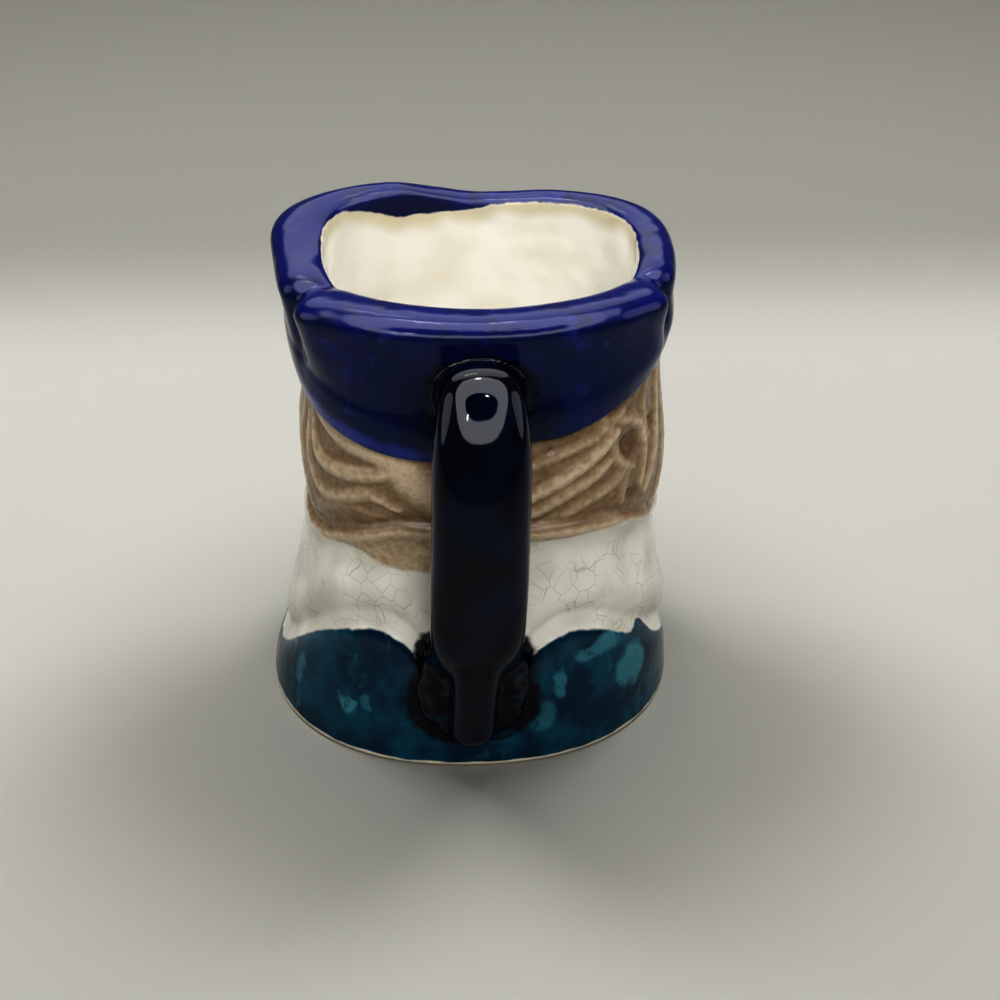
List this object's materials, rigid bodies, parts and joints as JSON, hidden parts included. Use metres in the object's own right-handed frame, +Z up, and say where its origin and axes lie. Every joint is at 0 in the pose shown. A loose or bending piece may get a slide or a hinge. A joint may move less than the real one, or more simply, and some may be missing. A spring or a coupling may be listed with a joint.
{
  "type": "toby jug",
  "caption": "Small glazed earthenware character jug, a head and shoulders under a three-cornered hat, open and hollow at the top, with a looped handle behind.",
  "frame": {"origin": "middle of the flat underside, under the body's axis", "axes": "+Z up through the open rim, -Y towards the face, +Y towards the handle, +X towards the jug's left shoulder"},
  "size_m": [0.0645, 0.0689, 0.077],
  "materials": {
    "glazed_earthenware": "clear glaze over painted bands: cobalt hat, brown washed hair, crazed white collar, mottled teal coat, cream inside"
  },
  "bodies": {
    "root": {"toby_jug": "glazed_earthenware"}
  },
  "joints": []
}
